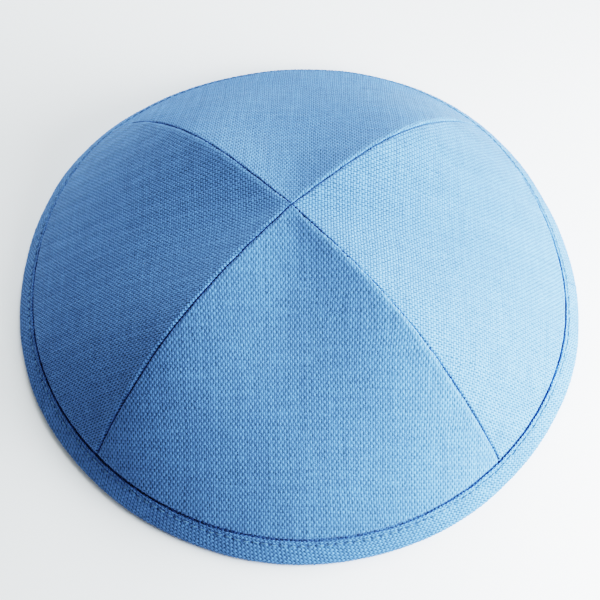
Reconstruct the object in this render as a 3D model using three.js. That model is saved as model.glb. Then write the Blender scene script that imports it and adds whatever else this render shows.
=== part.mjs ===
// A four-panel linen skullcap standing on its rim, in millimetres, +Z up, front towards -Y.
// The origin is the middle of the cap's box, on the surface that it rests on.
import * as THREE from 'three';

// The cap as a whole. The rim is a soft hoop: an oval nearly in line with the front, bent a little
// in three places. The crown was sewn slightly to the left of the middle.
const rimLength = 172.5;
const rimWidth = 167.5;
const rimLongAzimuth = 100;
const rimBend = 0.36;
const rimBendAzimuth = 44;
const crownHeight = 48.0;
const crownShiftLeft = 1.3;

// How the dome falls from the crown to the band: partly as a cone, the rest as a power of the radius.
const coneShare = 0.312;
const fullness = 2.63;

// The seams stand off the round dome as soft ridges, and the panels are flatter between them.
// Below 1 the ridges start at the crown at once, above 1 they rise further down.
const seamStand = 3.5;
const panelSink = 4.0;
const ridgeLag = 1.2;
const seamGap = 0.3;
const crownHole = 1.2;

// The four seams by their azimuth in degrees, seen from above and counted from +X.
const seamAzimuths = { back_right: 44.5, back_left: 133.6, front_left: 224.4, front_right: 313.2 };

// The strip folded round the lower edge.
const bandRise = 6.8;
const bandInset = 4.7;
const foldPress = 0.7;
const innerPlyOverlap = 0.8;

// Cloth thicknesses and the clearance between plies.
const panelWall = 1.3;
const tongueWall = 1.0;
const bandPly = 1.0;
const plyClearance = 0.3;
const stepLength = 1.6;

// How finely the curved surfaces are divided.
const panelRowCount = 16;
const panelColumnCount = 14;
const bandColumnCount = 72;
const foldStepCount = 6;
const edgeStepCount = 2;

const linen = { color: 0x7fb0dc, roughness: 0.92, metalness: 0.0 };

const degree = Math.PI / 180;
const halfTurn = Math.PI;
const fullTurn = 2 * halfTurn;
const rimRadius = (rimWidth + rimLength) / 4;
const rimOval = (rimLength - rimWidth) / 4;

// The seam between panels and band is a ring: its radius, its height, and the fall of the panels to it.
const seamRadius = rimRadius - bandInset;
const panelDrop = crownHeight - bandRise;

// The band is flat from that ring to where its face meets the round fold.
const tongueDepth = bandPly + plyClearance;
const innerPlyDepth = tongueDepth + tongueWall + plyClearance;
const bandThickness = innerPlyDepth + bandPly;
const foldRadius = bandThickness / 2;
const foldHeight = foldRadius - foldPress;
const foldReach = bandInset - foldRadius;
const foldDistance = Math.hypot(foldReach, bandRise - foldHeight);
const bandSlope = Math.atan2(bandRise - foldHeight, foldReach) - Math.asin(foldRadius / foldDistance);
const bandLength = Math.sqrt(foldDistance ** 2 - foldRadius ** 2);

// The round dome under the ridges at a share of the way from the crown to the band.
function dome(share) {
  const fall = coneShare * share + (1 - coneShare) * share ** fullness;
  const steepness = coneShare + (1 - coneShare) * fullness * share ** (fullness - 1);
  return {
    radius: share * seamRadius,
    height: crownHeight - fall * panelDrop,
    slope: Math.atan2(steepness * panelDrop, seamRadius),
  };
}

// One share of the dome measured along the cloth at its lower edge.
const edgeRun = seamRadius / Math.cos(dome(1).slope);

// How far a meridian stands out from the round dome, by its angle to the nearest seam.
function ridge(share, azimuth) {
  const gaps = Object.values(seamAzimuths).map((seam) => Math.abs(wrap(azimuth - seam * degree)));
  const flatness = Math.sin(2 * Math.min(...gaps));
  return (seamStand - (seamStand + panelSink) * flatness) * Math.sin(Math.PI * share ** ridgeLag);
}

function wrap(angle) {
  return angle - fullTurn * Math.round(angle / fullTurn);
}

// A point on a meridian: radius and height, at a depth under the outer face.
function domePoint(share, depth, azimuth) {
  const { radius, height, slope } = dome(share);
  const lift = ridge(share, azimuth) - depth;
  return { radius: radius + lift * Math.sin(slope), height: height + lift * Math.cos(slope) };
}

// The same on the band, at a length down its face from the seam ring.
function bandPoint(length, depth) {
  return {
    radius: seamRadius + length * Math.cos(bandSlope) - depth * Math.sin(bandSlope),
    height: bandRise - length * Math.sin(bandSlope) - depth * Math.cos(bandSlope),
  };
}

// The length down the band at which a given depth reaches a given height.
function bandLengthAt(height, depth) {
  return (bandRise - depth * Math.cos(bandSlope) - height) / Math.sin(bandSlope);
}

// Into the cap's own frame, with the rim's hoop out of round and the crown off its middle.
function place({ radius, height }, azimuth, share) {
  const oval = rimOval * Math.cos(2 * (azimuth - rimLongAzimuth * degree));
  const bend = rimBend * Math.cos(3 * (azimuth - rimBendAzimuth * degree));
  const reach = radius * (1 + ((oval + bend) / rimRadius) * share);
  return new THREE.Vector3(
    reach * Math.cos(azimuth) - crownShiftLeft * (1 - share),
    reach * Math.sin(azimuth),
    height,
  );
}

// A closed mesh from rings of points, each ring the outline of a section and in the same order.
function skin(rings, closedRound) {
  const positions = rings.flat().flatMap((point) => point.toArray());
  const size = rings[0].length;
  const indices = [];
  const last = closedRound ? rings.length : rings.length - 1;
  for (let i = 0; i < last; i += 1) {
    const next = (i + 1) % rings.length;
    for (let j = 0; j < size; j += 1) {
      const a = i * size + j;
      const b = i * size + ((j + 1) % size);
      const c = next * size + j;
      const d = next * size + ((j + 1) % size);
      indices.push(a, b, c, b, d, c);
    }
  }
  if (!closedRound) {
    const end = (rings.length - 1) * size;
    for (let j = 0; j < size / 2 - 1; j += 1) {
      const k = size - 1 - j;
      indices.push(j, k, j + 1, k, k - 1, j + 1);
      indices.push(end + j, end + j + 1, end + k, end + k, end + j + 1, end + k - 1);
    }
  }
  const geometry = new THREE.BufferGeometry();
  geometry.setAttribute('position', new THREE.Float32BufferAttribute(positions, 3));
  geometry.setIndex(indices);
  geometry.computeVertexNormals();
  return geometry;
}

// The section of a panel: down its outer face to the end of the tongue, and back up its inner face.
function panelSection() {
  const firstShare = crownHole / 2 / seamRadius;
  const stepShare = 1 - stepLength / edgeRun;
  const innerStep = panelWall / 2 / edgeRun;
  const tongueEnd = bandLengthAt(bandPly + plyClearance, tongueDepth + tongueWall);
  const outer = [];
  const inner = [];
  for (let i = 0; i <= panelRowCount; i += 1) {
    const along = i / panelRowCount;
    outer.push({ share: firstShare + (stepShare - firstShare) * along, depth: 0 });
    inner.push({ share: firstShare + (stepShare - innerStep - firstShare) * along, depth: panelWall });
  }
  outer.push({ share: 1, depth: tongueDepth });
  inner.push({ share: 1 - innerStep, depth: tongueDepth + tongueWall });
  outer.push({ share: 1, length: tongueEnd, depth: tongueDepth });
  inner.push({ share: 1, length: tongueEnd, depth: tongueDepth + tongueWall });
  return [...outer, ...inner.reverse()];
}

// A panel between two seams. Its edges keep half the seam gap to the upright plane of each seam.
function panel(fromSeam, toSeam) {
  const start = fromSeam * degree;
  const span = (fullTurn + (toSeam - fromSeam) * degree) % fullTurn;
  const section = panelSection();
  const rings = [];
  for (let i = 0; i <= panelColumnCount; i += 1) {
    const across = i / panelColumnCount;
    rings.push(section.map(({ share, length, depth }) => {
      const point = (azimuth) => (length === undefined
        ? domePoint(share, depth, azimuth)
        : bandPoint(length, depth));
      const edge = Math.asin(seamGap / 2 / point(across < 0.5 ? start : start + span).radius);
      const azimuth = start + edge + (span - 2 * edge) * across;
      return place(point(azimuth), azimuth, share);
    }));
  }
  return skin(rings, false);
}

// The section of the band: down the outer ply, round the fold, up the inner ply, and back through
// the slot that holds the panels' edges. The fold is pressed flat on the surface under it.
function bandSection() {
  const points = [];
  const arc = (middle, size, from, to, steps, floor) => {
    for (let i = 0; i <= steps; i += 1) {
      const turn = from + (to - from) * (i / steps);
      const depth = middle.depth - size * Math.cos(turn);
      const length = Math.min(middle.length + size * Math.sin(turn), bandLengthAt(floor, depth));
      points.push(bandPoint(length, depth));
    }
  };
  const fold = { length: bandLength, depth: foldRadius };
  const outerEdge = { length: plyClearance + bandPly / 2, depth: bandPly / 2 };
  const innerEdge = { length: -innerPlyOverlap, depth: bandThickness - bandPly / 2 };
  arc(outerEdge, bandPly / 2, -halfTurn, 0, edgeStepCount, 0);
  arc(fold, foldRadius, 0, halfTurn, foldStepCount, 0);
  arc(innerEdge, bandPly / 2, halfTurn, fullTurn, edgeStepCount, 0);
  arc(fold, foldRadius - bandPly, halfTurn, 0, foldStepCount, bandPly);
  return points;
}

function band() {
  const section = bandSection();
  const rings = [];
  for (let i = 0; i < bandColumnCount; i += 1) {
    const azimuth = (fullTurn * i) / bandColumnCount;
    rings.push(section.map((point) => place(point, azimuth, 1)));
  }
  return skin(rings, true);
}

function piece(name, geometry) {
  const mesh = new THREE.Mesh(geometry, new THREE.MeshStandardMaterial(linen));
  mesh.name = name;
  return mesh;
}

const panels = [
  { name: 'panel_front', from: 'front_left', to: 'front_right' },
  { name: 'panel_right', from: 'front_right', to: 'back_right' },
  { name: 'panel_back', from: 'back_right', to: 'back_left' },
  { name: 'panel_left', from: 'back_left', to: 'front_left' },
];

const cap = new THREE.Group();
for (const { name, from, to } of panels) {
  cap.add(piece(name, panel(seamAzimuths[from], seamAzimuths[to])));
}
cap.add(piece('rim_band', band()));

// The bent hoop's box is not quite centred on the hoop's own axis, so the cap is moved over the origin.
const middle = new THREE.Box3().setFromObject(cap).getCenter(new THREE.Vector3());
cap.position.set(-middle.x, -middle.y, 0);

export default cap;
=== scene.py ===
"""A sky-blue linen skullcap: four gores of plain-weave cloth and a bias-cut band folded round the rim.

Lengths are in millimetres, angles in degrees and azimuths counted from +X, unless a name says otherwise.
Each gore is cut flat from a grid of cloth, folded back at its seams and laid over the dome, with its warps
and wefts in low relief. The finer weave is in the material, on a UV map counted in threads.
"""

import math

import bpy
import numpy as np
from mathutils import Matrix, Vector


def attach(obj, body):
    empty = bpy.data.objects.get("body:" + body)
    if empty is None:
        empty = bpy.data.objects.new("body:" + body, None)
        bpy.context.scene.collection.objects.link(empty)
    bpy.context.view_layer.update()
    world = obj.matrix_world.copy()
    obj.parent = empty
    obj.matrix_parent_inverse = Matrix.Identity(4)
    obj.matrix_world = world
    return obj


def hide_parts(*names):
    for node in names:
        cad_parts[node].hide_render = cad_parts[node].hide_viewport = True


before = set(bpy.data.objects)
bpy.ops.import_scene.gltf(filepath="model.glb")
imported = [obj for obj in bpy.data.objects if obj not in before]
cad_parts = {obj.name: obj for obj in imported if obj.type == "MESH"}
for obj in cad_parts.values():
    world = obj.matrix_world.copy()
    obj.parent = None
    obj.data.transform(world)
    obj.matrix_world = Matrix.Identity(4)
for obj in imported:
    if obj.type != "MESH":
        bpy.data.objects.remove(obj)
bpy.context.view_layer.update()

MM = 0.001
DEGREE = math.pi / 180
FULL_TURN = 2 * math.pi

# The cap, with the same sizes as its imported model.
RIM_LENGTH = 172.5
RIM_WIDTH = 167.5
RIM_LONG_AZIMUTH = 100 * DEGREE
RIM_BEND = 0.36
RIM_BEND_AZIMUTH = 44 * DEGREE
CROWN_HEIGHT = 48.0
CROWN_SHIFT_LEFT = 1.3
CONE_SHARE = 0.312
FULLNESS = 2.63
SEAM_STAND = 3.5
PANEL_SINK = 4.0
RIDGE_LAG = 1.2
SEAM_AZIMUTHS = {"back_right": 44.5, "back_left": 133.6, "front_left": 224.4, "front_right": 313.2}
BAND_RISE = 6.8
BAND_INSET = 4.7

# How the soft rim wanders from that hoop: waves round the rim by their count, size and azimuth.
RIM_WAVES = (
    (0, -0.12, 0), (1, 0.50, -34 * DEGREE), (3, 0.09, 52 * DEGREE), (4, 0.38, -35 * DEGREE),
    (5, 0.37, -12 * DEGREE), (7, 0.11, -9 * DEGREE),
)

# How finely the rim's hoop, the dome's arc and the gore's width are sampled.
HOOP_SAMPLES = 721
ARC_SAMPLES = 801

RIM_RADIUS = (RIM_LENGTH + RIM_WIDTH) / 4
RIM_OVAL = (RIM_LENGTH - RIM_WIDTH) / 4
SEAM_RADIUS = RIM_RADIUS - BAND_INSET
PANEL_DROP = CROWN_HEIGHT - BAND_RISE

# The linen: the thread pitches in the band, the mesh steps of the gores' cloth, how far a warp stands out
# where it crosses over, the threads' roundness, and how uneven the yarns are. YARN_CELL is in threads, and
# YARN_STREAK is how much slower a yarn changes along its length.
WARP_PITCH = 0.64
WEFT_PITCH = 0.90
COLUMN_STEP = 0.3275
ROW_STEP = 0.45
CRIMP = 0.075
WARP_ROUND = 0.035
WEFT_ROUND = 0.025
CRIMP_SPREAD = 0.35
YARN_CELL = 0.8
YARN_STREAK = 0.12
THREAD_JITTER = 0.10
THREAD_WANDER = 0.30
THREAD_WANDER_CELL = 11.0
PANEL_CLOTH = 0.45

# The gores' flat cut. Straight chords make up the bowed seam sides and the round hem.
SEAM_ALLOWANCE = 3.0
TIP_TAPER = 30 * DEGREE
TONGUE = 2.6
SEAM_CHORDS = 5
HEM_CHORDS = 16
TIP_REACH = 0.5

# The rolled edge at each seam: its width and depth, the gap left open in the long seam, and the closed
# seams' share of the width, and of the depth at the crown and from CLOSED_REACH out. At every seam one side
# stands SEAM_STEP higher than the other, and each rounds off towards the seam by its own shoulder.
# After them come the puckers beside the seams and the gores' slow swells.
ROLL_WIDTH = 0.42
ROLL_DEPTH = 0.70
SEAM_GAP = 0.06
CLOSED_WIDTH_SHARE = 0.75
CLOSED_DEPTH_SHARES = (0.14, 0.54)
CLOSED_REACH = 60.0
RAISED_SHOULDER = 0.40
LOW_SHOULDER = 0.06
SHOULDER_WIDTH = 1.5
SEAM_STEP = 0.28
SEAM_STEP_WIDTH = 6.0
TIP_CALM = 6.0
PUCKER = 0.08
PUCKER_CELL = 5.5
PUCKER_REACH = 4.5
PUCKER_STRETCH = 0.4
SWELL = 0.30
SWELL_CELL = 24.0

# The crease where the gores go under the band.
CREASE_DEPTH = 1.15
CREASE_RUN = 0.85
HEM_FADE = 1.4
HEM_PUCKER = 0.10
HEM_PUCKER_CELL = 6.0

# The band: a strip cut on the bias and folded round the rim. The values that end in CELLS count waves of
# unevenness round the whole rim, and BAND_WANDER is in threads.
BAND_CLOTH = 0.42
BAND_FOLD = 1.45
BAND_PRESS = 0.3
TOP_ROLL = 0.47
TOP_CLEARANCE = 0.28
BAND_TAIL = 1.0
INNER_ROLL = 0.43
INNER_OVERLAP = 0.5
BAND_COLUMNS = 1240
FINE_STEP = 0.43
TOP_STEP_SHARE = 0.6
COARSE_STEP = 0.9
SMALLEST_ARC = 0.3
BIAS_ANGLE = 42 * DEGREE
BAND_CRIMP = 1.2
BAND_SINK = 0.22
BAND_WANDER = 0.5
BAND_WANDER_CELLS = 50
BAND_SWELL = 0.14
BAND_SWELL_CELLS = 46
ROLL_SWELL = 0.10
ROLL_SWELL_CELLS = 240
ROLL_REACH = 0.8
MERGE_DISTANCE = 0.01

# The topstitching: its stitches, the line that they keep to down the band's face, and the valley and dents
# that they pull into it.
STITCH_COUNT = 206
STITCH_LENGTH = 2.15
STITCH_THREAD = 0.36
STITCH_LINE = 1.75
STITCH_VALLEY = 0.14
STITCH_DIMPLE = 0.34
VALLEY_WIDTH = 0.48
STITCH_SINK = 0.10
STITCH_BOW = 0.28
STITCH_TILT = 5 * DEGREE
STITCH_SLIP = 0.10
STITCH_SIGHT = 0.5 * DEGREE
STITCH_SIDES = 8
STITCH_RINGS = 6
LINE_WANDER = 0.12
LINE_WANDER_CELLS = 90

# Seeds of the band's and the stitches' random values. The gores have theirs in PANELS.
BAND_CLOTH_SEED = 53
BAND_WANDER_SEED = 61
BAND_WEAVE_SEED = 62
BAND_SWELL_SEED = 63
ROLL_SEED = 64
LINE_SEED = 71
TILT_SEED = 81
SLIP_SEED = 82

# The side of the square of random values that each soft noise is drawn from.
NOISE_CELLS = 512

# Colours of the linen, with painted light on its yarns' tops and painted shade in its gaps, its fuzz, the
# thread and the card under the cap.
LINEN_LIT_TOP = "#678bcc"
LINEN_BODY = "#587eb1"
LINEN_GAP_SHADE = "#395676"
LINEN_FUZZ = "#d6e8fb"
THREAD_SHADE = "#486d99"
THREAD_LIGHT = "#6a8eb4"
CARD_SHADE = "#f3f7fb"
CARD_LIGHT = "#f8fbff"

# How the yarns look close to: swerving by shares of a thread, the shares of the crossings, warps and wefts
# in what stands out, the gaps' painted shade by where it starts, the tops' painted light by where it comes
# in, and the fine relief of the three and of the fibres.
# The SCALE values are noise cells per thread, but per metre for the card's pulp. Noise lies between about
# NOISE_LOW and NOISE_HIGH, and the sum of two that make the slubs between the two of SLUB_NOISE.
NOISE_LOW = 0.3
NOISE_HIGH = 0.7
YARN_SWERVE = 0.55
SWERVE_SCALE = 0.9
TOP_SHARES = (0.55, -0.42, 0.05)
GAP_EDGE = -0.08
GAP_SPREAD = 0.26
GAP_SOFTNESS = 0.6
GAP_SCALE = 0.35
TOPS_LIT = (-0.2, 0.6)
SLUB_STRETCH = (0.95, 0.045)
SLUB_NOISE = (0.7, 1.3)
SLUB_TONES = (0.84, 1.12)
PATCH_SCALE = 0.06
PATCH_TONES = (0.96, 1.04)
ROUGHNESS = (0.86, 0.98)
SHEEN = 0.15
FIBRES_PER_THREAD = 6.0
YARN_HEIGHTS = (0.03, 0.022, 0.055, 0.025)
TWIST_PITCH = 0.2
TWIST_HEIGHT = 0.05
PULP_SCALE = 12.0

# The camera, in the frame of the rim's own circle, and the frame it was matched to.
PHOTO_SIDE = 600
CAMERA_DISTANCE = 464.2
CAMERA_ELEVATION = 58.98 * DEGREE
CAMERA_AIM = (0.713, -2.218)
CAMERA_ROLL = -0.7386 * DEGREE
CAMERA_FOCUS_PIXELS = 1545
CAMERA_NEAR = 10
CAMERA_FAR = 20000

# The room: soft light close by on the right and at the front right, weaker light from the back, and a pale
# room all round.
FLOOR_SIZE = 12000
ROOM_COLOUR = "#fffef2"
ROOM_STRENGTH = 0.288
LAMPS = [
    {
        "name": "right_light", "azimuth": 0, "elevation": 8, "distance": 250, "size": 175,
        "watts": 1.17, "colour": "#f8fdff",
    },
    {
        "name": "front_right_light", "azimuth": -30, "elevation": 30, "distance": 250, "size": 175,
        "watts": 1.18, "colour": "#f8fdff",
    },
    {
        "name": "back_light", "azimuth": 90, "elevation": 35, "distance": 600, "size": 420,
        "watts": 3.68, "colour": "#f8fdff",
    },
]
VIEW_TRANSFORM = "Filmic"
VIEW_LOOK = "Very High Contrast"
VIEW_EXPOSURE = 0.0

# The band is flat from the seam ring to where its face meets the round fold.
BAND_FOLD_HEIGHT = BAND_FOLD - BAND_PRESS
BAND_REACH = BAND_INSET - BAND_FOLD
BAND_DISTANCE = math.hypot(BAND_REACH, BAND_RISE - BAND_FOLD_HEIGHT)
BAND_SLOPE = math.atan2(BAND_RISE - BAND_FOLD_HEIGHT, BAND_REACH) - math.asin(BAND_FOLD / BAND_DISTANCE)
BAND_LENGTH = math.sqrt(BAND_DISTANCE ** 2 - BAND_FOLD ** 2)

# The four gores. The cloth they were cut from isn't equally dense all over.
PANELS = [
    {
        "name": "linen_gore_front", "node": "panel_front", "from": "front_left", "to": "front_right",
        "warp_pitch": 0.655, "weft_pitch": 0.90, "seed": 11,
    },
    {
        "name": "linen_gore_right", "node": "panel_right", "from": "front_right", "to": "back_right",
        "warp_pitch": 0.64, "weft_pitch": 0.85, "seed": 23,
    },
    {
        "name": "linen_gore_back", "node": "panel_back", "from": "back_right", "to": "back_left",
        "warp_pitch": 0.60, "weft_pitch": 0.91, "seed": 37,
    },
    {
        "name": "linen_gore_left", "node": "panel_left", "from": "back_left", "to": "front_left",
        "warp_pitch": 0.62, "weft_pitch": 0.78, "seed": 41,
    },
]
# The panel that each seam's two allowances were pressed under. It stands a little above its neighbour.
RAISED_SIDES = {
    "back_right": "panel_back",
    "back_left": "panel_left",
    "front_left": "panel_left",
    "front_right": "panel_front",
}
# These two seams were sewn first, and the long one across the crown closes over their ends.
CLOSED_SEAMS = ("back_left", "front_right")


def smooth_step(x):
    """0 below 0, 1 above 1, and a smooth rise between."""
    x = np.clip(x, 0, 1)
    return x * x * (3 - 2 * x)


def soft_noise(x, y, cell, seed, across=NOISE_CELLS):
    """Smooth random values from about -1 to 1 over a plane. They repeat after so many cells along x."""
    lattice = np.random.default_rng(seed).uniform(-1, 1, (across, NOISE_CELLS))
    column = np.asarray(x) / cell + across
    row = np.asarray(y) / cell + NOISE_CELLS // 2
    i, j = np.floor(column).astype(int), np.floor(row).astype(int)
    a, b = smooth_step(column - i), smooth_step(row - j)

    def corner(di, dj):
        return lattice[(i + di) % across, (j + dj) % NOISE_CELLS]

    low = corner(0, 0) * (1 - a) + corner(1, 0) * a
    high = corner(0, 1) * (1 - a) + corner(1, 1) * a
    return low * (1 - b) + high * b


def hoop(azimuth):
    """How far the rim stands outside its mean circle."""
    oval = RIM_OVAL * np.cos(2 * (azimuth - RIM_LONG_AZIMUTH))
    bend = RIM_BEND * np.cos(3 * (azimuth - RIM_BEND_AZIMUTH))
    return oval + bend


def rim_wander(azimuth):
    """How far the soft rim stands outside its hoop."""
    return sum(size * np.cos(count * (azimuth - middle)) for count, size, middle in RIM_WAVES)


def hoop_middle():
    """The middle of the rim's box, which is the origin of the cap."""
    azimuth = np.linspace(0, FULL_TURN, HOOP_SAMPLES)
    x = (RIM_RADIUS + hoop(azimuth)) * np.cos(azimuth)
    y = (RIM_RADIUS + hoop(azimuth)) * np.sin(azimuth)
    return (x.min() + x.max()) / 2, (y.min() + y.max()) / 2


MIDDLE_X, MIDDLE_Y = hoop_middle()


def dome(share):
    """Radius, height and slope of the round dome at a share of the way from the crown to the band."""
    fall = CONE_SHARE * share + (1 - CONE_SHARE) * share ** FULLNESS
    steepness = CONE_SHARE + (1 - CONE_SHARE) * FULLNESS * share ** (FULLNESS - 1)
    slope = np.arctan2(steepness * PANEL_DROP, SEAM_RADIUS)
    return share * SEAM_RADIUS, CROWN_HEIGHT - fall * PANEL_DROP, slope


def ridge(share, azimuth):
    """How far the dome stands out: ridges along the seams and flatter cloth between them."""
    turns = [azimuth - seam * DEGREE for seam in SEAM_AZIMUTHS.values()]
    gaps = [np.abs(np.mod(turn + math.pi, FULL_TURN) - math.pi) for turn in turns]
    flatness = np.sin(2 * np.minimum.reduce(gaps))
    return (SEAM_STAND - (SEAM_STAND + PANEL_SINK) * flatness) * np.sin(math.pi * share ** RIDGE_LAG)


def place(radius, height, azimuth, share):
    """Into the cap's own frame: the rim out of round, the crown off the middle, the box over the origin."""
    reach = radius * (1 + (hoop(azimuth) + rim_wander(azimuth)) / RIM_RADIUS * share)
    x = reach * np.cos(azimuth) - CROWN_SHIFT_LEFT * (1 - share) - MIDDLE_X
    y = reach * np.sin(azimuth) - MIDDLE_Y
    return np.stack([x, y, height], axis=-1)


def arc_table():
    """The length along the cloth from the crown, for even steps of the share of the way to the band."""
    shares = np.linspace(0, 1, ARC_SAMPLES)
    radius, height, _ = dome(shares)
    steps = np.hypot(np.diff(radius), np.diff(height))
    return shares, np.concatenate([[0], np.cumsum(steps)])


ARC_SHARES, ARC_LENGTHS = arc_table()
SEAM_RUN = ARC_LENGTHS[-1]
GORE_RUN = SEAM_RUN + TONGUE


def read_points(piece):
    """The piece's vertices in millimetres."""
    points = np.zeros(len(piece.data.vertices) * 3)
    piece.data.vertices.foreach_get("co", points)
    return points.reshape(-1, 3) / MM


def write_points(piece, points):
    """Puts the piece's vertices at these places in millimetres."""
    piece.data.vertices.foreach_set("co", (points * MM).ravel())
    piece.data.update()


def write_threads(piece, warp, weft):
    """Keeps each vertex's place in the weave, counted in threads, as the piece's UV map."""
    layer = piece.data.uv_layers.new(name="threads")
    corners = np.zeros(len(piece.data.loops), int)
    piece.data.loops.foreach_get("vertex_index", corners)
    layer.data.foreach_set("uv", np.stack([warp, weft], axis=-1)[corners].ravel())


def select_only(piece):
    """Leaves one object selected and active."""
    bpy.ops.object.select_all(action="DESELECT")
    piece.select_set(True)
    bpy.context.view_layer.objects.active = piece


def apply_modifier(piece, kind, **settings):
    """Adds a modifier with its settings and applies it."""
    select_only(piece)
    modifier = piece.modifiers.new(kind.lower(), kind)
    for name, value in settings.items():
        setattr(modifier, name, value)
    bpy.ops.object.modifier_apply(modifier=modifier.name)


def flat_grid(name, columns, rows, column_step, row_step):
    """A flat cloth in the XY plane, centred on X and starting at Y = 0, with its threads along both."""
    bpy.ops.object.select_all(action="DESELECT")
    bpy.ops.mesh.primitive_grid_add(x_subdivisions=columns, y_subdivisions=rows, size=1)
    cloth = bpy.context.object
    cloth.name = cloth.data.name = name
    while cloth.data.uv_layers:
        cloth.data.uv_layers.remove(cloth.data.uv_layers[0])
    bpy.ops.object.mode_set(mode="EDIT")
    bpy.ops.mesh.select_all(action="SELECT")
    bpy.ops.transform.resize(value=(columns * column_step * MM, rows * row_step * MM, 1))
    bpy.ops.transform.translate(value=(0, rows * row_step * MM / 2, 0))
    bpy.ops.object.mode_set(mode="OBJECT")
    return cloth


def cap_radius(reach):
    """The radius of the round dome at a length along the cloth from the crown, and on under the band."""
    share = np.interp(reach, ARC_LENGTHS, ARC_SHARES)
    return share * SEAM_RADIUS + np.maximum(reach - SEAM_RUN, 0) * math.cos(BAND_SLOPE)


def seam_turn(reach):
    """The angle between the straight grain and the seam in the flat: a quarter of the dome's round."""
    reach = np.maximum(reach, TIP_REACH)
    return FULL_TURN / (2 * len(PANELS)) * cap_radius(reach) / reach


def seam_point(reach):
    """A point on the right-hand seam of the flat gore."""
    return reach * math.sin(seam_turn(reach)), reach * math.cos(seam_turn(reach))


def cut_away(across, along, normal_across, normal_along):
    """Cuts off the flat cloth on the normal's side of a line through that point."""
    bpy.ops.mesh.select_all(action="SELECT")
    bpy.ops.mesh.bisect(
        plane_co=(across * MM, along * MM, 0), plane_no=(normal_across, normal_along, 0), clear_outer=True
    )


def cut_gore():
    """A gore cut flat: two bowed seams with their allowances, tapered at the tip, and a round hem."""
    half_width = seam_point(GORE_RUN)[0] + SEAM_ALLOWANCE
    columns = 2 * math.ceil(half_width / COLUMN_STEP)
    rows = math.ceil(GORE_RUN / ROW_STEP)
    gore = flat_grid("linen_gore", columns, rows, COLUMN_STEP, ROW_STEP)
    bpy.ops.object.mode_set(mode="EDIT")
    tip = seam_turn(0) + TIP_TAPER
    for side in (-1, 1):
        cut_away(0, 0, side * math.cos(tip), -math.sin(tip))
        for k in range(SEAM_CHORDS):
            start = seam_point(GORE_RUN * k / SEAM_CHORDS)
            end = seam_point(GORE_RUN * (k + 1) / SEAM_CHORDS)
            chord = math.dist(start, end)
            outward, down = (end[1] - start[1]) / chord, (start[0] - end[0]) / chord
            middle = seam_point(GORE_RUN * (k + 0.5) / SEAM_CHORDS)
            edge = middle[0] + SEAM_ALLOWANCE * outward, middle[1] + SEAM_ALLOWANCE * down
            cut_away(side * edge[0], edge[1], side * outward, down)
    reach = seam_turn(GORE_RUN) + SEAM_ALLOWANCE / GORE_RUN
    for k in range(HEM_CHORDS):
        turn = reach * (2 * (k + 0.5) / HEM_CHORDS - 1)
        cut_away(GORE_RUN * math.sin(turn), GORE_RUN * math.cos(turn), math.sin(turn), math.cos(turn))
    bpy.ops.object.mode_set(mode="OBJECT")
    return gore


def fold_seams(reach, turn, panel):
    """Turns the allowances under at both seams of the flat gore.

    Gives the folded turn from the straight grain, the depth under the outer face, and the distances to
    the seams that the panel runs from and to.
    """
    half = seam_turn(reach)
    past = (np.abs(turn) - half) * reach
    closed = np.where(turn > 0, panel["from"] in CLOSED_SEAMS, panel["to"] in CLOSED_SEAMS)
    width = np.where(closed, ROLL_WIDTH * CLOSED_WIDTH_SHARE, ROLL_WIDTH)
    shallow = np.interp(reach, (0, CLOSED_REACH), CLOSED_DEPTH_SHARES)
    depth = np.where(closed, ROLL_DEPTH * shallow, ROLL_DEPTH)
    rolled = (np.clip(past / width, -1, 1) + 1) / 2 * math.pi
    gap = np.where(closed, 0, SEAM_GAP / 2)
    inward = np.where(np.abs(past) < width, width * (1 - np.sin(rolled)), np.abs(past)) + gap
    inward = np.minimum(inward, half * reach)
    under = (2 * ROLL_DEPTH - depth) * np.clip(-np.cos(rolled), 0, 1)
    depth = depth * (1 - np.clip(np.cos(rolled), 0, 1)) + under
    at_tip = (1 - np.clip(reach / ROLL_WIDTH, 0, 1)) / 2 * math.pi
    depth = np.maximum(depth, ROLL_DEPTH * (1 - np.cos(at_tip)))
    turn = np.sign(turn) * (half - inward / np.maximum(reach, TIP_REACH))
    return turn, depth, (half - turn) * reach, (half + turn) * reach


def weave_relief(warp, weft, seed):
    """How far the cloth's face stands out, counted in threads: warps over wefts, and both threads round."""
    spread = 1 + CRIMP_SPREAD * soft_noise(warp, weft * YARN_STREAK, YARN_CELL, seed)
    spread = spread * (1 + CRIMP_SPREAD * soft_noise(warp * YARN_STREAK, weft, YARN_CELL, seed + 1))
    crossing = CRIMP * np.cos(math.pi * warp) * np.cos(math.pi * weft)
    rounds = WARP_ROUND * np.cos(FULL_TURN * warp) + WEFT_ROUND * np.cos(FULL_TURN * weft)
    return (crossing + rounds) * spread


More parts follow.
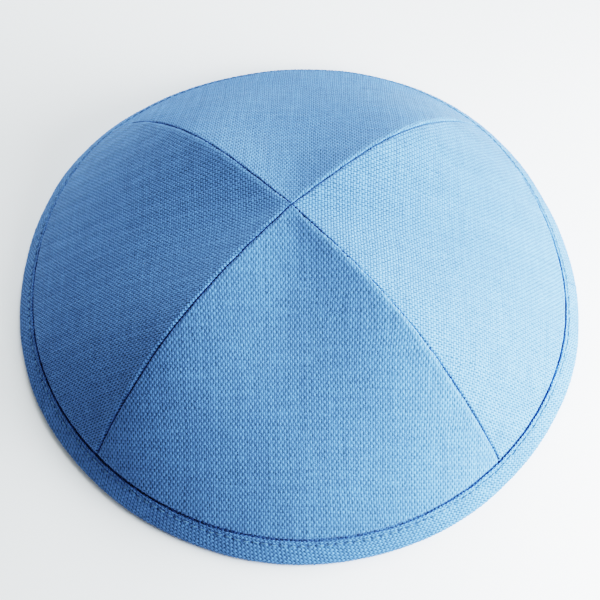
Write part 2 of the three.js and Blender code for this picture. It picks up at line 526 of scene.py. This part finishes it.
def gore_face(panel, reach, turn, to_seams, azimuth):
    """How far the gore's face lies under the smooth dome: its seam shoulders, puckers, swells and crease."""
    seed = panel["seed"]
    across, along = reach * np.sin(turn), reach * np.cos(turn)
    nearest = np.minimum.reduce(list(to_seams.values()))
    off_tip = smooth_step(reach / TIP_CALM)
    face = np.zeros_like(reach)
    for seam, distance in to_seams.items():
        raised = RAISED_SIDES[seam] == panel["node"]
        shoulder = RAISED_SHOULDER if raised else LOW_SHOULDER
        lift = SEAM_STEP / 2 if raised else -SEAM_STEP / 2
        face = face + off_tip * shoulder * (1 - smooth_step(distance / SHOULDER_WIDTH))
        face = face - off_tip * lift * (1 - smooth_step(distance / SEAM_STEP_WIDTH))
    along_seam = soft_noise(reach, nearest * PUCKER_STRETCH, PUCKER_CELL, seed + 4)
    face = face + PUCKER * along_seam * np.exp(-nearest / PUCKER_REACH)
    face = face + SWELL * soft_noise(across, along, SWELL_CELL, seed + 5) * smooth_step(reach / SWELL_CELL)
    to_hem = SEAM_RUN - reach
    hem_noise = soft_noise(azimuth * SEAM_RADIUS, 0 * reach, HEM_PUCKER_CELL, seed + 6)
    face = face + HEM_PUCKER * hem_noise * np.exp(-np.maximum(to_hem, 0) / PUCKER_REACH)
    dip = np.clip(1 - to_hem / CREASE_RUN, 0, 1)
    return face * smooth_step(to_hem / HEM_FADE) + CREASE_DEPTH * (1 - np.sqrt(1 - dip ** 2))


def drape_gore(gore, panel):
    """Lays the flat gore over the dome between its two seams, as far round as it is wide."""
    points = read_points(gore)
    across, along = points[:, 0], np.maximum(points[:, 1], 0)
    warp, weft = across / panel["warp_pitch"], along / panel["weft_pitch"]
    seed = panel["seed"]
    across = across + THREAD_JITTER * soft_noise(warp, 0 * warp, YARN_CELL, seed)
    along = along + THREAD_JITTER * soft_noise(weft, 0 * weft, YARN_CELL, seed + 1)
    calm = smooth_step(along / THREAD_WANDER_CELL)
    sideways, onward = (
        calm * THREAD_WANDER * soft_noise(across, along, THREAD_WANDER_CELL, seed + k) for k in (2, 3)
    )
    across, along = across + sideways, np.maximum(along + onward, 0)

    reach, turn = np.hypot(across, along), np.arctan2(across, along)
    turn, depth, to_from, to_to = fold_seams(reach, turn, panel)
    start = SEAM_AZIMUTHS[panel["from"]] * DEGREE
    span = (SEAM_AZIMUTHS[panel["to"]] * DEGREE - start) % FULL_TURN
    azimuth = start + span / 2 * (1 - turn / seam_turn(reach))
    face = gore_face(panel, reach, turn, {panel["from"]: to_from, panel["to"]: to_to}, azimuth)
    relief = weave_relief(warp, weft, seed + 7)
    depth = depth + face - relief * np.cos(np.clip(depth / ROLL_DEPTH, 0, 2) * math.pi / 2)

    share = np.interp(reach, ARC_LENGTHS, ARC_SHARES)
    past_hem = np.maximum(reach - SEAM_RUN, 0)
    radius, height, slope = dome(share)
    lift = ridge(share, azimuth) - depth
    slope = np.where(past_hem > 0, BAND_SLOPE, slope)
    radius = radius + lift * np.sin(slope) + past_hem * math.cos(BAND_SLOPE)
    height = height + lift * np.cos(slope) - past_hem * math.sin(BAND_SLOPE)
    write_points(gore, place(radius, height, azimuth, share))
    write_threads(gore, warp, weft)


def smooth_faces(piece):
    """Shades the whole piece smooth."""
    select_only(piece)
    bpy.ops.object.shade_smooth()


def make_gores():
    """The four gores: one cut, copied, each with its own mesh, and draped in its own place."""
    pattern = cut_gore()
    gores = {}
    for panel in PANELS:
        gore = pattern.copy()
        gore.data = pattern.data.copy()
        gore.name = gore.data.name = panel["name"]
        bpy.context.scene.collection.objects.link(gore)
        drape_gore(gore, panel)
        apply_modifier(gore, "SOLIDIFY", thickness=PANEL_CLOTH * MM, offset=-1)
        smooth_faces(gore)
        gores[panel["node"]] = gore
    bpy.data.objects.remove(pattern)
    return gores


def arc_points(length, depth, radius, start, end, step):
    """Points round an arc of the band's section, by their length down the band and depth under its face."""
    count = max(2, math.ceil(abs(end - start) * max(radius, SMALLEST_ARC) / step))
    turn = np.linspace(start, end, count + 1)
    return [(length + radius * math.sin(t), depth - radius * math.cos(t)) for t in turn]


def line_points(start, end, depth, step):
    """Points along a straight run of the band's section, without its ends."""
    count = max(2, math.ceil(abs(end - start) / step))
    return [(start + (end - start) * k / count, depth) for k in range(1, count)]


def band_section():
    """The band's section as a closed outline, from its top roll to its inner edge and back.

    It runs over the top roll, down the face, round the fold and up the inside, then returns along the
    cloth's other face. The third value is 1 on the outer face and 0 on the other.
    """
    turn = math.pi
    top = TOP_CLEARANCE + TOP_ROLL
    thick = 2 * BAND_FOLD
    outer = arc_points(top, TOP_ROLL, TOP_ROLL, -turn, 0, FINE_STEP * TOP_STEP_SHARE)
    outer += line_points(top, BAND_LENGTH, 0, FINE_STEP)
    outer += arc_points(BAND_LENGTH, BAND_FOLD, BAND_FOLD, 0, turn, FINE_STEP)
    outer += line_points(BAND_LENGTH, -INNER_OVERLAP, thick, COARSE_STEP)
    outer += arc_points(-INNER_OVERLAP, thick - INNER_ROLL, INNER_ROLL, turn, 1.5 * turn, FINE_STEP)
    back = [(-INNER_OVERLAP, thick - BAND_CLOTH)]
    back += line_points(-INNER_OVERLAP, BAND_LENGTH, thick - BAND_CLOTH, COARSE_STEP)
    back += arc_points(BAND_LENGTH, BAND_FOLD, BAND_FOLD - BAND_CLOTH, turn, 0, COARSE_STEP)
    back += line_points(BAND_LENGTH, top, BAND_CLOTH, COARSE_STEP)
    back += arc_points(top, TOP_ROLL, TOP_ROLL - BAND_CLOTH, 0, -turn, COARSE_STEP)
    back += [(top + BAND_TAIL, 2 * TOP_ROLL - BAND_CLOTH), (top + BAND_TAIL, 2 * TOP_ROLL)]
    rows = [(*point, 1.0) for point in outer] + [(*point, 0.0) for point in back]
    return np.array(rows)


def band_place(length, depth, azimuth):
    """A point of the band in the cap's own frame."""
    radius = SEAM_RADIUS + length * math.cos(BAND_SLOPE) - depth * math.sin(BAND_SLOPE)
    height = BAND_RISE - length * math.sin(BAND_SLOPE) - depth * math.cos(BAND_SLOPE)
    return place(radius, height, azimuth, 1.0)


def rest_on_floor(length, depth, floor):
    """Holds a point of the band at or above a height, by sliding it up along the band's face."""
    lowest = (BAND_RISE - depth * math.cos(BAND_SLOPE) - floor) / math.sin(BAND_SLOPE)
    return np.minimum(length, lowest)


def stitch_azimuths():
    """The middles of the stitches round the rim."""
    return (np.arange(STITCH_COUNT) + 0.5) / STITCH_COUNT * FULL_TURN


def band_dents(length, azimuth):
    """How deep the topstitching pulls the band's face in: a valley, deepest where the thread dives."""
    rim = RIM_RADIUS * azimuth
    line_cell = FULL_TURN * RIM_RADIUS / LINE_WANDER_CELLS
    wander = LINE_WANDER * soft_noise(rim, 0 * rim, line_cell, LINE_SEED, across=LINE_WANDER_CELLS)
    off_line = np.exp(-(((length - STITCH_LINE - wander) / VALLEY_WIDTH) ** 2))
    dive = (1 + np.cos(azimuth * STITCH_COUNT)) / 2
    return off_line * (STITCH_VALLEY + STITCH_DIMPLE * dive ** 4)


def make_band():
    """The bias band: a grid of cloth wrapped round its section and round the rim, closed both ways."""
    section = band_section()
    rows = len(section)
    band = flat_grid("linen_rim_band", BAND_COLUMNS, rows, 1.0, 1.0)
    flat = read_points(band)
    column = np.rint(flat[:, 0] + BAND_COLUMNS / 2).astype(int) % BAND_COLUMNS
    row = np.rint(flat[:, 1]).astype(int) % rows
    length, depth, outer = section[row].T
    azimuth = column / BAND_COLUMNS * FULL_TURN
    rim = RIM_RADIUS * azimuth
    run = np.concatenate([[0], np.cumsum(np.hypot(*np.diff(section[:, :2], axis=0).T))])[row]
    along_warp = (rim * math.sin(BIAS_ANGLE) - run * math.cos(BIAS_ANGLE)) / WARP_PITCH
    along_weft = (rim * math.sin(BIAS_ANGLE) + run * math.cos(BIAS_ANGLE)) / WEFT_PITCH
    wander_cell = FULL_TURN * RIM_RADIUS / BAND_WANDER_CELLS
    wander = BAND_WANDER * soft_noise(rim, run, wander_cell, BAND_WANDER_SEED, across=BAND_WANDER_CELLS)
    warp, weft = along_warp + wander, along_weft - wander
    relief = (BAND_CRIMP * weave_relief(warp, weft, BAND_WEAVE_SEED) - BAND_SINK) * outer
    swell_cell = FULL_TURN * RIM_RADIUS / BAND_SWELL_CELLS
    swell = BAND_SWELL * soft_noise(rim, run, swell_cell, BAND_SWELL_SEED, across=BAND_SWELL_CELLS)
    relief = relief + swell * outer
    roll_cell = FULL_TURN * RIM_RADIUS / ROLL_SWELL_CELLS
    roll_noise = soft_noise(rim, 0 * rim, roll_cell, ROLL_SEED, across=ROLL_SWELL_CELLS)
    at_roll = np.exp(-(((length - TOP_CLEARANCE) / ROLL_REACH) ** 2)) * (depth < BAND_FOLD)
    length = length - ROLL_SWELL * roll_noise * at_roll
    dents = np.where(depth < BAND_FOLD, band_dents(length, azimuth), 0)

    following, before = section[(row + 1) % rows], section[row - 1]
    tangent = following[:, :2] - before[:, :2]
    tangent = tangent / np.linalg.norm(tangent, axis=1, keepdims=True)
    length = length + relief * tangent[:, 1]
    depth = depth - relief * tangent[:, 0] + dents
    floor = np.where(outer > 0, 0.0, BAND_CLOTH)
    length = rest_on_floor(length, depth, floor)
    write_points(band, band_place(length, depth, azimuth))
    write_threads(band, warp, weft)
    select_only(band)
    bpy.ops.object.mode_set(mode="EDIT")
    bpy.ops.mesh.select_all(action="SELECT")
    bpy.ops.mesh.remove_doubles(threshold=MERGE_DISTANCE * MM)
    bpy.ops.mesh.normals_make_consistent(inside=False)
    bpy.ops.object.mode_set(mode="OBJECT")
    smooth_faces(band)
    return band


def make_stitch():
    """One stitch of sewing thread along X: a slim closed bead, its ends bowed down into the cloth."""
    bpy.ops.object.select_all(action="DESELECT")
    bpy.ops.mesh.primitive_uv_sphere_add(segments=STITCH_SIDES, ring_count=STITCH_RINGS, radius=1 / 2)
    stitch = bpy.context.object
    bpy.ops.object.mode_set(mode="EDIT")
    bpy.ops.mesh.select_all(action="SELECT")
    bpy.ops.transform.rotate(value=math.pi / 2, orient_axis="Y", center_override=(0, 0, 0))
    bpy.ops.transform.resize(value=(STITCH_LENGTH * MM, STITCH_THREAD * MM, STITCH_THREAD * MM))
    bpy.ops.object.mode_set(mode="OBJECT")
    points = read_points(stitch)
    points[:, 2] -= STITCH_BOW * (2 * points[:, 0] / STITCH_LENGTH) ** 2
    write_points(stitch, points)
    return stitch


def make_topstitching():
    """The row of stitches that holds the band: one stitch copied round the rim and joined."""
    pattern = make_stitch()
    copies = []
    tilts = np.random.default_rng(TILT_SEED).normal(0, STITCH_TILT, STITCH_COUNT)
    slips = np.random.default_rng(SLIP_SEED).normal(0, STITCH_SLIP, STITCH_COUNT)
    for azimuth, tilt, slip in zip(stitch_azimuths(), tilts, slips):
        stitch = pattern.copy()
        stitch.data = pattern.data.copy()
        bpy.context.scene.collection.objects.link(stitch)
        length = STITCH_LINE + slip
        ahead, behind = azimuth + STITCH_SIGHT, azimuth - STITCH_SIGHT
        dent = float(band_dents(np.array([STITCH_LINE]), np.array([azimuth]))[0])
        middle = band_place(length, dent + STITCH_SINK - STITCH_THREAD / 2, azimuth)
        run = band_place(length, 0, ahead) - band_place(length, 0, behind)
        down = band_place(length + 1, 0, azimuth) - band_place(length, 0, azimuth)
        along = Vector(run).normalized()
        outward = Vector(down).cross(along).normalized()
        sideways = outward.cross(along)
        turn = Matrix((along, sideways, outward)).transposed().to_4x4()
        spin = Matrix.Rotation(tilt, 4, "Z")
        stitch.data.transform(Matrix.Translation(Vector(middle) * MM) @ turn @ spin)
        copies.append(stitch)
    bpy.data.objects.remove(pattern)
    bpy.ops.object.select_all(action="DESELECT")
    for stitch in copies:
        stitch.select_set(True)
    bpy.context.view_layer.objects.active = copies[0]
    bpy.ops.object.join()
    row = bpy.context.object
    row.name = row.data.name = "cotton_topstitching"
    smooth_faces(row)
    return row


def linear(hex_colour):
    """An sRGB hex colour as linear RGBA."""
    channels = [int(hex_colour[k : k + 2], 16) / 255 for k in (1, 3, 5)]
    return (*[c / 12.92 if c <= 0.04045 else ((c + 0.055) / 1.055) ** 2.4 for c in channels], 1.0)


def add_node(tree, kind, inputs=None, **settings):
    """Adds one node: its settings, and for each socket a value or the socket that feeds it."""
    made = tree.nodes.new(kind)
    for name, value in settings.items():
        setattr(made, name, value)
    for socket, value in (inputs or {}).items():
        if isinstance(value, bpy.types.NodeSocket):
            tree.links.new(value, made.inputs[socket])
        else:
            made.inputs[socket].default_value = value
    return made


def new_material(name, **fixed):
    """A material with a Principled shader, and the values that are the same all over set on it."""
    material = bpy.data.materials.new(name)
    material.use_nodes = True
    shader = material.node_tree.nodes["Principled BSDF"]
    for socket, value in fixed.items():
        shader.inputs[socket.replace("_", " ")].default_value = value
    return material, material.node_tree, shader


# Linen, plain-woven from uneven flax yarn and piece-dyed sky blue. It is matt, with painted shade in small
# dashes in staggered rows where the yarns dive, painted light on the tops in a net round them, and here and
# there a thick yarn.
def thread_waves(tree, threads, shifted):
    """Three waves of the weave, from -1 to 1: the crossings, the warps' and the wefts' roundness."""
    wobble = add_node(tree, "ShaderNodeTexNoise", {"Vector": shifted, "Scale": SWERVE_SCALE, "Detail": 1.0})
    centred = add_node(
        tree, "ShaderNodeVectorMath", {0: wobble.outputs["Color"], 1: (0.5, 0.5, 0.5)}, operation="SUBTRACT"
    )
    scaled = add_node(
        tree, "ShaderNodeVectorMath", {0: centred.outputs[0], "Scale": YARN_SWERVE}, operation="SCALE"
    )
    bent = add_node(tree, "ShaderNodeVectorMath", {0: threads, 1: scaled.outputs[0]}, operation="ADD")
    parts = add_node(tree, "ShaderNodeSeparateXYZ", {0: bent.outputs[0]})
    single, double = [], []
    for axis in (0, 1):
        for turn, waves in ((math.pi, single), (FULL_TURN, double)):
            angle = add_node(tree, "ShaderNodeMath", {0: parts.outputs[axis], 1: turn}, operation="MULTIPLY")
            wave = add_node(tree, "ShaderNodeMath", {0: angle.outputs[0]}, operation="COSINE")
            waves.append(wave.outputs[0])
    crossing = add_node(tree, "ShaderNodeMath", {0: single[0], 1: single[1]}, operation="MULTIPLY")
    return crossing.outputs[0], double[0], double[1]


def mix_waves(tree, waves, shares):
    """The waves added up in these shares."""
    total = 0.0
    for wave, share in zip(waves, shares):
        added = add_node(tree, "ShaderNodeMath", {0: wave, 1: share, 2: total}, operation="MULTIPLY_ADD")
        total = added.outputs[0]
    return total


def painted_gap_shade(tree, shifted, tops):
    """1 in the gaps between the yarns' tops, for painted shade. They are wider in some patches than in
    others.
    """
    patch = add_node(tree, "ShaderNodeTexNoise", {"Vector": shifted, "Scale": GAP_SCALE, "Detail": 2.0})
    edge = add_node(
        tree, "ShaderNodeMapRange",
        {
            0: patch.outputs[0], 1: NOISE_LOW, 2: NOISE_HIGH,
            3: GAP_EDGE - GAP_SPREAD, 4: GAP_EDGE + GAP_SPREAD,
        },
    )
    below = add_node(tree, "ShaderNodeMath", {0: edge.outputs[0], 1: tops}, operation="SUBTRACT")
    gap = add_node(
        tree, "ShaderNodeMapRange", {0: below.outputs[0], 1: 0.0, 2: GAP_SOFTNESS},
        interpolation_type="SMOOTHSTEP",
    )
    return gap.outputs[0]


def yarn_tones(tree, shifted):
    """Brightness of the yarns: each yarn its own slow changes along its length, and patches of the cloth."""
    across_yarn, along_yarn = SLUB_STRETCH
    along_yarns = []
    for stretch in ((across_yarn, along_yarn, 1), (along_yarn, across_yarn, 1)):
        stretched = add_node(tree, "ShaderNodeVectorMath", {0: shifted, 1: stretch}, operation="MULTIPLY")
        noise = add_node(
            tree, "ShaderNodeTexNoise", {"Vector": stretched.outputs[0], "Scale": 1.0, "Detail": 1.0}
        )
        along_yarns.append(noise.outputs[0])
    both = add_node(tree, "ShaderNodeMath", {0: along_yarns[0], 1: along_yarns[1]}, operation="ADD")
    slub = add_node(
        tree, "ShaderNodeMapRange",
        {0: both.outputs[0], 1: SLUB_NOISE[0], 2: SLUB_NOISE[1], 3: SLUB_TONES[0], 4: SLUB_TONES[1]},
    )
    mottle = add_node(tree, "ShaderNodeTexNoise", {"Vector": shifted, "Scale": PATCH_SCALE, "Detail": 3.0})
    patch = add_node(
        tree, "ShaderNodeMapRange",
        {0: mottle.outputs[0], 1: NOISE_LOW, 2: NOISE_HIGH, 3: PATCH_TONES[0], 4: PATCH_TONES[1]},
    )
    tone = add_node(tree, "ShaderNodeMath", {0: slub.outputs[0], 1: patch.outputs[0]}, operation="MULTIPLY")
    return tone.outputs[0]


def weave_material(name, seed):
    """Linen by its thread counts: the UV map holds each point's place in warps and wefts."""
    material, tree, shader = new_material(
        name, Specular_IOR_Level=0.3, Sheen_Weight=SHEEN, Sheen_Roughness=0.5, Sheen_Tint=linear(LINEN_FUZZ)
    )
    threads = add_node(tree, "ShaderNodeUVMap", uv_map="threads").outputs[0]
    moved = add_node(tree, "ShaderNodeVectorMath", {0: threads, 1: (seed, 2 * seed, 0)}, operation="ADD")
    shifted = moved.outputs[0]
    waves = thread_waves(tree, threads, shifted)
    tops = mix_waves(tree, waves, TOP_SHARES)
    gap = painted_gap_shade(tree, shifted, tops)
    tone = yarn_tones(tree, shifted)
    # Painted light: where the yarns' tops stand out they are mixed towards a paler blue.
    lit = add_node(
        tree, "ShaderNodeMapRange", {0: tops, 1: TOPS_LIT[0], 2: TOPS_LIT[1]}, interpolation_type="SMOOTHSTEP"
    )
    yarn = add_node(
        tree, "ShaderNodeMix", {0: lit.outputs[0], 6: linear(LINEN_BODY), 7: linear(LINEN_LIT_TOP)},
        data_type="RGBA",
    )
    toned = add_node(tree, "ShaderNodeVectorMath", {0: yarn.outputs[2], "Scale": tone}, operation="SCALE")
    # Painted shade: the gaps between the yarns' tops are mixed towards a dark blue.
    colour = add_node(
        tree, "ShaderNodeMix", {0: gap, 6: toned.outputs[0], 7: linear(LINEN_GAP_SHADE)}, data_type="RGBA"
    )
    rough = add_node(tree, "ShaderNodeMapRange", {0: gap, 3: ROUGHNESS[0], 4: ROUGHNESS[1]})
    fibres = add_node(
        tree, "ShaderNodeTexNoise", {"Vector": shifted, "Scale": FIBRES_PER_THREAD, "Detail": 2.0}
    )
    height = mix_waves(tree, (*waves, fibres.outputs[0]), YARN_HEIGHTS)
    bump = add_node(tree, "ShaderNodeBump", {"Height": height, "Strength": 1.0, "Distance": MM})
    tree.links.new(colour.outputs[2], shader.inputs["Base Color"])
    tree.links.new(rough.outputs[0], shader.inputs["Roughness"])
    tree.links.new(bump.outputs[0], shader.inputs["Normal"])
    return material


# Cotton sewing thread, two-ply and mercerised, dyed to match: a little glossier than the linen, with its
# twist as fine flecks of light and shade.
def thread_material():
    material, tree, shader = new_material(
        "cotton_sewing_thread", Specular_IOR_Level=0.4, Sheen_Weight=0.15, Roughness=0.7
    )
    place_on_piece = add_node(tree, "ShaderNodeTexCoord").outputs["Object"]
    twist = add_node(
        tree, "ShaderNodeTexNoise",
        {"Vector": place_on_piece, "Scale": 1 / (TWIST_PITCH * MM), "Detail": 1.0},
    )
    colour = add_node(
        tree, "ShaderNodeMix", {0: twist.outputs[0], 6: linear(THREAD_SHADE), 7: linear(THREAD_LIGHT)},
        data_type="RGBA",
    )
    bump = add_node(
        tree, "ShaderNodeBump", {"Height": twist.outputs[0], "Strength": 0.5, "Distance": TWIST_HEIGHT * MM}
    )
    tree.links.new(colour.outputs[2], shader.inputs["Base Color"])
    tree.links.new(bump.outputs[0], shader.inputs["Normal"])
    return material


# White card, matt, with the faint mottling of pressed pulp.
def card_material():
    material, tree, shader = new_material("white_card", Specular_IOR_Level=0.2, Roughness=0.75)
    place_on_piece = add_node(tree, "ShaderNodeTexCoord").outputs["Object"]
    pulp = add_node(
        tree, "ShaderNodeTexNoise", {"Vector": place_on_piece, "Scale": PULP_SCALE, "Detail": 3.0}
    )
    colour = add_node(
        tree, "ShaderNodeMix", {0: pulp.outputs[0], 6: linear(CARD_SHADE), 7: linear(CARD_LIGHT)},
        data_type="RGBA",
    )
    tree.links.new(colour.outputs[2], shader.inputs["Base Color"])
    return material


def dress(piece, material):
    """Gives a piece its one material."""
    piece.data.materials.clear()
    piece.data.materials.append(material)


def make_floor(material):
    """The pale surface that the cap rests on."""
    bpy.ops.object.select_all(action="DESELECT")
    bpy.ops.mesh.primitive_plane_add(size=FLOOR_SIZE * MM)
    floor = bpy.context.object
    floor.name = "floor"
    dress(floor, material)


def make_light(name, azimuth, elevation, distance, size, watts, colour):
    """A square soft light that faces the cap from that direction."""
    direction = Vector((
        math.cos(azimuth * DEGREE) * math.cos(elevation * DEGREE),
        math.sin(azimuth * DEGREE) * math.cos(elevation * DEGREE),
        math.sin(elevation * DEGREE),
    ))
    data = bpy.data.lights.new(name, "AREA")
    data.shape, data.size = "SQUARE", size * MM
    data.energy, data.color = watts, linear(colour)[:3]
    light = bpy.data.objects.new(name, data)
    light.location = direction * distance * MM
    light.visible_camera = False
    light.rotation_mode = "QUATERNION"
    light.rotation_quaternion = direction.to_track_quat("Z", "Y")
    bpy.context.scene.collection.objects.link(light)


def make_world():
    """A plain pale room all round."""
    world = bpy.data.worlds.new("pale_room")
    world.use_nodes = True
    sky = world.node_tree.nodes["Background"]
    sky.inputs["Color"].default_value = linear(ROOM_COLOUR)
    sky.inputs["Strength"].default_value = ROOM_STRENGTH
    bpy.context.scene.world = world


def make_camera():
    """The camera where the photograph was taken from, worked out from the rim, the seams and the outline."""
    scene = bpy.context.scene
    centre = Vector((-MIDDLE_X, -MIDDLE_Y, 0))
    back = Vector((0, -math.cos(CAMERA_ELEVATION), math.sin(CAMERA_ELEVATION)))
    eye = centre + back * CAMERA_DISTANCE
    target = centre + Vector((*CAMERA_AIM, 0))
    forward = (target - eye).normalized()
    level = forward.cross(Vector((0, 0, 1))).normalized()
    upright = level.cross(forward)
    right = math.cos(CAMERA_ROLL) * level + math.sin(CAMERA_ROLL) * upright
    up = right.cross(forward)
    data = bpy.data.cameras.new("camera")
    data.lens = CAMERA_FOCUS_PIXELS / PHOTO_SIDE * data.sensor_width
    data.clip_start, data.clip_end = CAMERA_NEAR * MM, CAMERA_FAR * MM
    camera = bpy.data.objects.new("camera", data)
    camera.rotation_mode = "QUATERNION"
    camera.matrix_world = Matrix.Translation(eye * MM) @ Matrix((right, up, -forward)).transposed().to_4x4()
    scene.collection.objects.link(camera)
    scene.camera = camera


make_camera()
make_world()
for lamp in LAMPS:
    make_light(**lamp)
scene = bpy.context.scene
scene.view_settings.view_transform = VIEW_TRANSFORM
scene.view_settings.look = VIEW_LOOK
scene.view_settings.exposure = VIEW_EXPOSURE
make_floor(card_material())

gores = make_gores()
band = make_band()
stitching = make_topstitching()

# Each piece gets its material and hangs from the root body; the imported parts that the gores and the band
# replace are hidden.
for panel in PANELS:
    gore = gores[panel["node"]]
    dress(gore, weave_material("plain_weave_linen_" + panel["node"], panel["seed"]))
    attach(gore, "root")
    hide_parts(panel["node"])
dress(band, weave_material("bias_cut_linen_band", BAND_CLOTH_SEED))
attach(band, "root")
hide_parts("rim_band")
dress(stitching, thread_material())
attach(stitching, "root")
